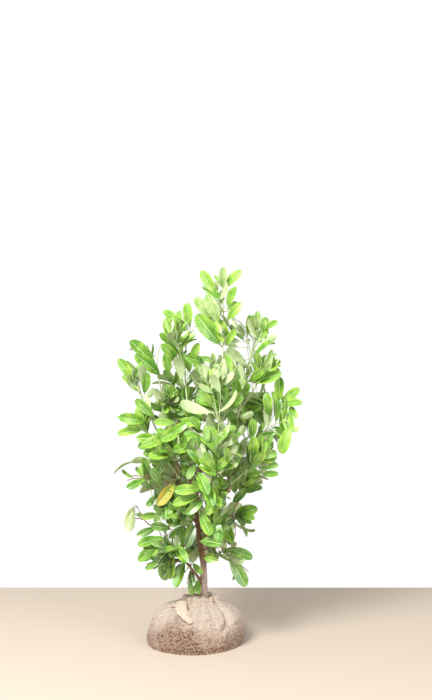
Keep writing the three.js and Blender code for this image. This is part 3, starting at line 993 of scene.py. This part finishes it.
# %% Shoots and surveyed leaves
grown_sprays = {}
for number, (name, plan) in enumerate(SPRAYS.items()):
    rng = random.Random(1000 + number)
    solid = frame_bmesh("foliage_" + name)
    tree = BVHTree.FromBMesh(solid)
    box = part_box("foliage_" + name)
    middle = (box[0] + box[1]) / 2
    solid.free()
    limb = routes[plan["limb"]]
    goal = seen(*plan["tip"]) if plan["tip"] else middle + UP * (box[1].z - middle.z) * 0.45
    at = min(range(len(limb)), key=lambda i: (limb[i][0] - middle).length)
    at = max(1, at)
    ahead = (limb[at][0] - limb[at - 1][0]).normalized()
    if at < len(limb) - 2:
        ahead = (ahead * 0.5 + (goal - limb[at][0]).normalized()).normalized()
    main = shoot_route(limb[at][0] - ahead * mm(4), ahead, goal, (min(limb[at][1], mm(3)), SHOOT_RADII[1]))
    here = [main]
    leaves, twigs = bmesh.new(), bmesh.new()
    for _ in range(plan["shoots"]):
        taken = [point for route in here for point in route]
        place = emptiest_place(rng, tree, box, taken, SHOOT_INSIDE if plan["leaves"] else LOOSE_SHOOT_INSIDE)
        if place is None:
            continue
        start = min(main[: max(2, len(main) * 3 // 4)], key=lambda p: (p[0] - place).length + (p[0].z - place.z))
        out = (place - start[0]).normalized()
        route = shoot_route(start[0], (out + ahead).normalized(), place, SHOOT_RADII)
        here.append(route)
    for route in here:
        sweep(twigs, route, 6, relief=0.12, seed=number)
    for row in plan["leaves"]:
        surveyed_leaf(leaves, twigs, rng, tree, here, row)
    grown_sprays[name] = (rng, tree, here, leaves, twigs)
print(f"{len(MOSAIC)} surveyed leaves on {len(grown_sprays)} sprays")

# %% Wild leaves
for name, plan in SPRAYS.items():
    rng, tree, here, leaves, twigs = grown_sprays[name]
    margin, light = (SURVEYED_MARGIN, VIEWER) if plan["leaves"] else (-BEHIND_OUTSIDE, Vector())
    grown = 0
    for i, route in enumerate(reversed(here)):
        left = (plan["wild"] - grown) / (len(here) - i)
        grown += shoot_leaves(leaves, rng, tree, route, math.ceil(left), margin, light, plan["pale"])
    print(f"{name}: {grown} of {plan['wild']} wild leaves on {len(here)} shoots")
    shoot_finish = GREEN_SHOOT if here[0][-1][0].z > 0.72 else BOUGH_BARK
    stand_in(finish_piece(leaves, "leaves_" + name, LEAF_FINISHES), "leaves", "foliage_" + name)
    stand_in(finish_piece(twigs, "twigs_" + name, [shoot_finish]), "shoot")
print(f"{len(MOSAIC)} leaves in all")

# %% [markdown]
# ## Jute sacking round the ball
#
# The ball is heavy clay soil in one square of jute cloth. Its corners were pulled up round the stem, so the cloth is
# smooth and tight over the waist, and runs into pleats and creases at the shoulders and the neck. Two corners hang
# out as twisted ears. Damp soil has come through the weave low down and has stained it brown. The cloth is also
# painted darker along its foot as shade, and lighter towards the top as painted light.
#
# `spin` turns one profile into the whole cloth, from the flat foot up to the neck and over the lip. Then each vertex
# is cast onto the frame's ball, and creases, pleats and lumps are pushed into it.

# %% Jute
THREAD_MM = 5  # jute of this kind has 2.5 mm between its threads; it is drawn coarser so that it shows
SLUB_MM = 6  # thick and thin places along the yarn, drawn coarser too
WEAVE_TURN = math.radians(28)  # the cloth was pulled up askew, so its threads run at a slant
STAIN_HEART = (-0.06, -0.165, 0.0)


def weave_pattern(material):
    """Loose, uneven plain weave: low in the holes between the yarns and high on them."""
    cloth_map = add_node(material, "ShaderNodeUVMap", uv_map="cloth").outputs["UV"]
    askew = add_node(material, "ShaderNodeMapping", {"Vector": cloth_map}, rotation=(0, 0, WEAVE_TURN))
    threads = []
    for direction in ("X", "Y"):
        wave = add_node(
            material,
            "ShaderNodeTexWave",
            {"Vector": askew.outputs["Vector"]},
            wave_type="BANDS",
            bands_direction=direction,
            scale=per_metre(THREAD_MM) * FULL_TURN / 20,
            distortion=0.8,
            detail=1.0,
        )
        threads.append(wave.outputs["Fac"])
    yarn = add_node(material, "ShaderNodeMath", {0: threads[0], 1: threads[1]}, operation="ADD").outputs[0]
    slubs = add_node(
        material,
        "ShaderNodeTexNoise",
        {"Vector": object_coordinates(material)},
        scale=per_metre(SLUB_MM),
        detail=2.0,
    )
    thick = add_node(
        material, "ShaderNodeMapRange", {"Value": slubs.outputs["Fac"]}, from_min=0.4, from_max=0.58, to_min=0.24
    )
    return add_node(
        material, "ShaderNodeMath", {0: yarn, 1: thick.outputs["Result"]}, operation="MULTIPLY"
    ).outputs[0]


def three_tone(material, factor, holes, shade, light):
    ramp = add_node(material, "ShaderNodeValToRGB", {"Fac": factor})
    ramp.color_ramp.elements[0].position, ramp.color_ramp.elements[1].position = 0.16, 1.0
    ramp.color_ramp.elements[0].color, ramp.color_ramp.elements[1].color = linear(holes), linear(light)
    ramp.color_ramp.elements.new(0.5).color = linear(shade)
    return ramp.outputs["Color"]


def stain_and_foot_shade_share(material):
    """Where the soil has come through: in front of the stain's heart, and in a band along the foot, which is partly
    soil stain and partly painted shade where the ball meets the table.
    """
    place = object_coordinates(material)
    apart = add_node(material, "ShaderNodeVectorMath", {0: place}, operation="DISTANCE")
    apart.inputs[1].default_value = STAIN_HEART
    near = add_node(
        material, "ShaderNodeMapRange", {"Value": apart.outputs["Value"]}, from_min=mm(62), from_max=mm(150)
    )
    near.inputs["To Min"].default_value, near.inputs["To Max"].default_value = 0.95, 0.0
    height = add_node(material, "ShaderNodeSeparateXYZ", {"Vector": place}).outputs["Z"]
    # The band along the foot: soil stain, and painted shade where the ball stands on the table.
    low = add_node(material, "ShaderNodeMapRange", {"Value": height}, from_min=mm(4), from_max=mm(86))
    low.inputs["To Min"].default_value, low.inputs["To Max"].default_value = 0.9, 0.0
    stain_and_foot_shade = add_node(
        material, "ShaderNodeMath", {0: near.outputs["Result"], 1: low.outputs["Result"]}, operation="MAXIMUM"
    ).outputs[0]
    blotch = add_node(material, "ShaderNodeTexNoise", {"Vector": place}, scale=per_metre(36), detail=8.0)
    stain = add_node(material, "ShaderNodeMath", {0: stain_and_foot_shade, 1: blotch.outputs["Fac"]}, operation="MULTIPLY")
    soaked = add_node(material, "ShaderNodeMapRange", {"Value": stain.outputs[0]}, from_min=0.1, from_max=0.4)
    return soaked.outputs["Result"]


def jute_cloth(name, dry, damp_and_shaded=None, soiled_and_shaded=None):
    """Undyed jute, plain woven from loose, hairy yarn. Each finish is its colours of holes, shade and light. The
    colours low down are soil dust and painted shade, and the stained colours carry painted shade along the foot as well
    as the stain.
    """
    material, shader = new_material(name, 0.92, Sheen_Weight=0.12, Sheen_Roughness=0.6)
    weave = weave_pattern(material)
    colour = three_tone(material, weave, *dry)
    if soiled_and_shaded:
        # Darker low down and lighter towards the top: soil dust, and painted light on the upper ball.
        dusty_and_shaded = three_tone(material, weave, *soiled_and_shaded)
        colour = height_mix(material, object_coordinates(material), dusty_and_shaded, colour, mm(30), mm(90))
    if damp_and_shaded:
        mix = add_node(material, "ShaderNodeMix", data_type="RGBA")
        material.node_tree.links.new(stain_and_foot_shade_share(material), mix.inputs[0])
        material.node_tree.links.new(colour, mix.inputs[6])
        material.node_tree.links.new(three_tone(material, weave, *damp_and_shaded), mix.inputs[7])
        colour = mix.outputs[2]
    link(material, colour, shader, "Base Color")
    bump = add_node(material, "ShaderNodeBump", {"Height": weave}, strength=0.75, distance=mm(2))
    link(material, bump.outputs["Normal"], shader, "Normal")
    return material


# The dry cloth; the cloth low down, with soil dust and painted shade; and the stained cloth, which also gives the
# painted shade along the foot.
DRY_JUTE = ("#AC907B", "#CFBBAA", "#E9DCCE")
SOILED_AND_SHADED_JUTE = ("#7F604D", "#B79A85", "#DECAB7")
DAMP_AND_SHADED_JUTE = ("#53321F", "#79533E", "#C6AB94")
JUTE = jute_cloth("jute_sacking_woven", DRY_JUTE, DAMP_AND_SHADED_JUTE, SOILED_AND_SHADED_JUTE)
CLEAN_JUTE = jute_cloth("jute_sacking_clean", ("#C8AC95", "#DAC5B0", "#EADAC8"))
print("jute ready")

# %% The sacking
BALL_HEART = mm(0, 0, 56)
SHOULDER_AXIS, NECK_AXIS = mm(9, 0, 0), mm(24, 0, 0)
DEPTH_TO_WIDTH = 0.93
CLOTH_PROFILE = (  # radius and height, from under the middle up to the lip and in over it
    (0, 0), (60, 0), (120, 0), (166, 0), (180, 7), (186, 26), (181, 56), (166, 86), (146, 106), (118, 122),
    (92, 132), (72, 139), (61, 146), (57, 152), (57, 158), (55, 164), (50, 168), (43, 169), (35, 167), (27, 163),
    (21, 156), (18, 148),
)
TIE_HEIGHT = mm(148)  # above it the cloth is a clean rim
MOUTH_AXIS = mm(38, 0, 0)  # the rim closes round the trunk
FOLDS = (  # where a fold starts at the neck and where it ends at the waist, in degrees from the front, its width
    # in degrees, the height of its ridge in millimetres, and which side of it has a tight crease (1 is the right)
    (77, 51, 16, 15, -1), (-46, -28, 11, 9, 1), (-76, -66, 11, 9, -1),
    (100, 84, 10, 9, 1), (124, 116, 12, 9, 1), (148, 138, 10, 9, -1), (174, 170, 13, 9, 1), (206, 212, 10, 9, -1),
    (-128, -118, 12, 9, 1), (-102, -92, 9, 8, -1),
)
CREASE_SHARE = 1.5  # how deep the crease is, as a share of its ridge
WRINKLES = ((12, 106, 12, 10), (-34, 92, 9, 6), (60, 84, 12, 7), (-64, 96, 14, 7))  # level ones: place, reach and depth


def bell(distance, width):
    return math.exp(-((distance / width) ** 2))


def fade(value, start, stop):
    """0 up to start, 1 from stop, and an even S between."""
    t = min(1.0, max(0.0, (value - start) / (stop - start)))
    return t * t * (3 - 2 * t)


def smooth_profile(points, parts):
    """A finer profile through (radius, height) points."""
    spaced = [(mm(r, 0, z), 0.0) for r, z in points]
    fine = []
    for place, _ in smooth_route(spaced, mm(parts)):
        fine.append(Vector((max(0.0, place.x), 0, max(0.0, place.z))))
    return fine


def sacking():
    bm = bmesh.new()
    chain = [bm.verts.new(p) for p in smooth_profile(CLOTH_PROFILE, 3.6)]
    edges = [bm.edges.new(pair) for pair in zip(chain, chain[1:])]
    bmesh.ops.spin(
        bm, geom=chain + edges, axis=UP, cent=(0, 0, 0), angle=FULL_TURN, steps=192, use_merge=True
    )
    bmesh.ops.remove_doubles(bm, verts=bm.verts, dist=mm(0.05))
    solid = frame_bmesh("root_ball")
    ball = BVHTree.FromBMesh(solid)
    solid.free()
    uv = bm.loops.layers.uv.new("cloth")
    flat = {v: (math.atan2(v.co.x, -v.co.y), v.co.xy.length, v.co.z) for v in bm.verts}
    for face in bm.faces:
        angles = [flat[loop.vert][0] for loop in face.loops]
        for loop, angle in zip(face.loops, angles):
            _, radius, height = flat[loop.vert]
            wrapped = angle + FULL_TURN if max(angles) - angle > math.pi else angle
            loop[uv].uv = (wrapped * mm(172), height * 1.2 - radius * 0.8)
    for v in bm.verts:
        angle, radius, height = flat[v]
        inner = radius < mm(48) and height > mm(140)
        neck = fade(height, mm(58), mm(112))
        out = Vector((math.sin(angle), -math.cos(angle) * DEPTH_TO_WIDTH, 0))
        axis = SHOULDER_AXIS.lerp(NECK_AXIS, fade(height, mm(110), mm(150)))
        if inner:
            axis = axis.lerp(MOUTH_AXIS, fade(mm(48) - radius, 0, mm(26)))
        place = Vector((v.co.x, v.co.y, v.co.z))
        if neck < 1 and radius > mm(1) and height > 0:
            hit = ball.ray_cast(BALL_HEART, place - BALL_HEART)[0]
            place = hit if hit else place
        place = place.lerp(out * radius + axis + UP * height, neck)
        tight = fade(height, mm(2), mm(26))
        reach = fade(height, mm(34), mm(122)) * (0.4 if inner else 1.0)
        degrees = math.degrees(angle)
        push = 0.0
        for at_neck, at_waist, width, ridge, side in FOLDS:
            here = at_waist + (at_neck - at_waist) * fade(height, mm(50), mm(150))
            gap = (degrees - here + 180) % 360 - 180
            crease = bell(gap - side * width, width * 0.3)
            push += mm(ridge) * (bell(gap, width) - CREASE_SHARE * crease) * reach
        for at, wrinkle_height, width, depth in WRINKLES:
            push -= mm(depth) * bell(degrees - at, width) * bell(height - mm(wrinkle_height), mm(4.5))
        rough = Vector((place.x, place.y, place.z))
        lumps = mm(5.5) * noise.noise(rough * 13) + mm(2.6) * noise.noise(rough * 31 + UP)
        tucks = mm(8) * noise.noise(Vector((math.sin(angle) * 6, math.cos(angle) * 6, height * 9))) * reach
        threads = mm(0.9) * noise.noise(rough * 130)
        push += (lumps + tucks + threads) * tight
        ragged = mm(6) * noise.noise(Vector((math.sin(angle) * 3, math.cos(angle) * 3, 9)))
        ragged -= mm(4) * (1 - math.cos(angle))  # the rim is lower behind
        ragged *= fade(height, mm(140), mm(164))
        v.co = place + (out * 0.85 + UP * 0.3).normalized() * push * (-1 if inner else 1) + UP * ragged
        v.co.z = max(0.0, v.co.z)
    bmesh.ops.smooth_vert(bm, verts=bm.verts, factor=0.25, use_axis_x=True, use_axis_y=True, use_axis_z=True)
    bmesh.ops.recalc_face_normals(bm, faces=bm.faces)
    for face in bm.faces:
        face.material_index = int(min(flat[v][2] for v in face.verts) > TIE_HEIGHT)
    return finish_piece(bm, "jute_sacking", [JUTE, CLEAN_JUTE])


cloth = stand_in(sacking(), "sacking", "root_ball", "sacking_collar")
print(f"the sacking has {len(cloth.data.polygons)} faces")

# %% Ears of the cloth
def ear(node, name, finish, width, thickness, ribs, foot_shift, tip_shift):
    """A corner of the cloth that was twisted up: a flattened, pleated strap along the solid's own centreline."""
    points = centreline(node, 7)
    if points[0][0].xy.length > points[-1][0].xy.length:
        points.reverse()
    last = len(points) - 1
    points = [(p + foot_shift.lerp(tip_shift, i / last), r) for i, (p, r) in enumerate(points)]
    route = smooth_route(points, mm(3))
    bm = bmesh.new()
    sweep(bm, route, 28)
    count = len(route) - 1
    bm.verts.ensure_lookup_table()
    uv = bm.loops.layers.uv.new("cloth")
    tree = [place for place, _ in route]
    for v in bm.verts:
        i = min(range(count + 1), key=lambda k: (tree[k] - v.co).length)
        t = i / count
        ahead = (tree[min(i + 1, count)] - tree[max(i - 1, 0)]).normalized()
        side = ahead.cross(UP).normalized()
        top = side.cross(ahead)
        off = v.co - tree[i]
        turn = math.atan2(off.dot(top), off.dot(side))
        swell = 1 + 0.16 * math.sin(ribs * turn + 5 * t) + 0.1 * noise.noise(v.co * 90)
        half = mm(width) * (0.62 + 0.38 * math.sin(math.pi * (0.08 + 0.72 * t))) * (1 - 0.35 * t**6) / 2
        high = mm(thickness) * (1 - 0.3 * t) / 2
        lengthwise = off.dot(ahead)
        v.co = tree[i] + ahead * lengthwise + side * math.cos(turn) * half * swell + top * math.sin(turn) * high * swell
    for face in bm.faces:
        for loop in face.loops:
            co = loop.vert.co
            loop[uv].uv = (co.x + 0.3 * co.z, 0.7 * co.y - co.z)
    return stand_in(finish_piece(bm, name, [finish]), "sacking", node)


ear("sacking_tail_front", "jute_ear_front", CLEAN_JUTE, 44, 16, 3, mm(-15, 0, 0), mm(9, -3, -3))
ear("sacking_tail_left", "jute_ear_left", JUTE, 38, 15, 2, mm(-2, -8, -8), mm(0, -8, -9))
print("ears ready")

# %% [markdown]
# ## Studio
#
# A white room and soft light: the sheen on the leaves comes from a large panel high on the left, and a weaker one
# on the right opens the shadows. The plant stands on a plain pale table.

# %% Table, lights and camera
def studio_table():
    bm = bmesh.new()
    bmesh.ops.create_cube(bm, size=1)
    for v in bm.verts:
        v.co = Vector((0.08 + v.co.x * 2.1, v.co.y * 1.42, (v.co.z - 0.5) * 0.1))
    bmesh.ops.bevel(
        bm, geom=list(bm.edges), offset=mm(6), segments=2, profile=0.5, affect="EDGES", material=-1
    )
    paint, shader = new_material("table_matt_paint", 0.8)
    shader.inputs["Base Color"].default_value = linear("#D3C3B2")
    return finish_piece(bm, "studio_table", [paint], smooth=False)


def soft_light(name, place, aim, width, watts):
    """An area light at a place, turned to its aim."""
    light = bpy.data.lights.new(name, "AREA")
    light.shape, light.size, light.energy = "DISK", width, watts
    lamp = bpy.data.objects.new(name, light)
    lamp.location = place
    lamp.rotation_euler = (Vector(aim) - Vector(place)).to_track_quat("-Z", "Y").to_euler()
    bpy.context.scene.collection.objects.link(lamp)


studio_table()
ROOM_LIGHT, ROOM_SEEN = 0.54, 1.02  # the room's walls light the plant less than their own white shows
soft_light("light_key", (-1.5, -2.3, 3.1), (0.05, 0, 0.6), 1.6, 182)
soft_light("light_fill", (2.4, -2.2, 1.8), (0.05, 0, 0.6), 2.2, 42)
world = bpy.data.worlds.new("white_room")
world.use_nodes = True
walls = world.node_tree.nodes["Background"]
walls.inputs["Color"].default_value = (1, 1, 1, 1)
seen_by = add_node(world, "ShaderNodeLightPath").outputs["Is Camera Ray"]
strength = add_node(world, "ShaderNodeMapRange", {"Value": seen_by}, to_min=ROOM_LIGHT, to_max=ROOM_SEEN)
world.node_tree.links.new(strength.outputs["Result"], walls.inputs["Strength"])
bpy.context.scene.world = world
bpy.context.scene.view_settings.view_transform = "Standard"

lens = bpy.data.cameras.new("camera")
lens.lens, lens.sensor_width = 50.8, 36
camera = bpy.data.objects.new("camera", lens)
camera.location = EYE
camera.rotation_euler = (math.radians(90 - 1.97), 0, 0)
bpy.context.scene.collection.objects.link(camera)
bpy.context.scene.camera = camera
print("studio ready")
